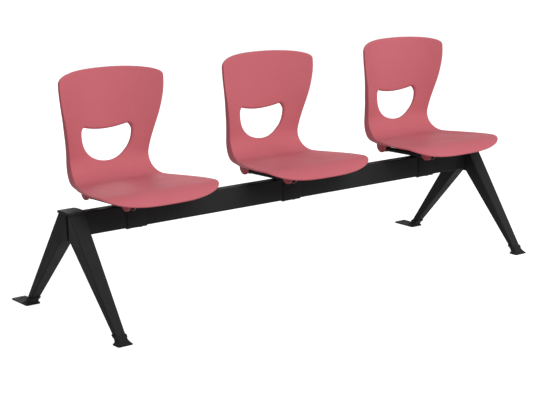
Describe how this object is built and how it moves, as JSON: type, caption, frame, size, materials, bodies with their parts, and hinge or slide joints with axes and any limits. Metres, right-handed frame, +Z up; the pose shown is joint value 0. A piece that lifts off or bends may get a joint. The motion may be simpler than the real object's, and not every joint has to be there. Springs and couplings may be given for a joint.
{
  "type": "beam seating",
  "caption": "Row of moulded plastic seats with hand holes, clamped to one steel beam between two A-shaped end frames with floor feet.",
  "frame": {"origin": "on the floor under the middle of the bench", "axes": "+X along the beam to the sitter's left-hand end, -Y the way the sitters face, +Z up"},
  "size_m": [1.904, 0.699, 0.8225],
  "materials": {
    "seat_plastic": "satin moulded plastic with a fine grain",
    "black_metal": "satin black powder coat",
    "black_plastic": "moulded black plastic",
    "zinc_steel": "zinc plated"
  },
  "bodies": {
    "root": {"beam": "black_metal", "left_beam_clamp": "black_metal", "left_beam_plug": "black_plastic", "left_clamp_bolts": "zinc_steel", "left_clamp_nuts": "zinc_steel", "left_front_foot": "black_plastic", "left_front_leg": "black_metal", "left_leg_screws": "zinc_steel", "left_rear_foot": "black_plastic", "left_rear_leg": "black_metal", "left_seat_frame": "black_metal", "left_seat_shell": "seat_plastic", "left_shell_screws": "zinc_steel", "left_top_cap": "black_plastic", "left_tube_caps": "black_plastic", "middle_beam_clamp": "black_metal", "middle_clamp_bolts": "zinc_steel", "middle_clamp_nuts": "zinc_steel", "middle_seat_frame": "black_metal", "middle_seat_shell": "seat_plastic", "middle_shell_screws": "zinc_steel", "middle_tube_caps": "black_plastic", "right_beam_clamp": "black_metal", "right_beam_plug": "black_plastic", "right_clamp_bolts": "zinc_steel", "right_clamp_nuts": "zinc_steel", "right_front_foot": "black_plastic", "right_front_leg": "black_metal", "right_leg_screws": "zinc_steel", "right_rear_foot": "black_plastic", "right_rear_leg": "black_metal", "right_seat_frame": "black_metal", "right_seat_shell": "seat_plastic", "right_shell_screws": "zinc_steel", "right_top_cap": "black_plastic", "right_tube_caps": "black_plastic"}
  },
  "joints": []
}
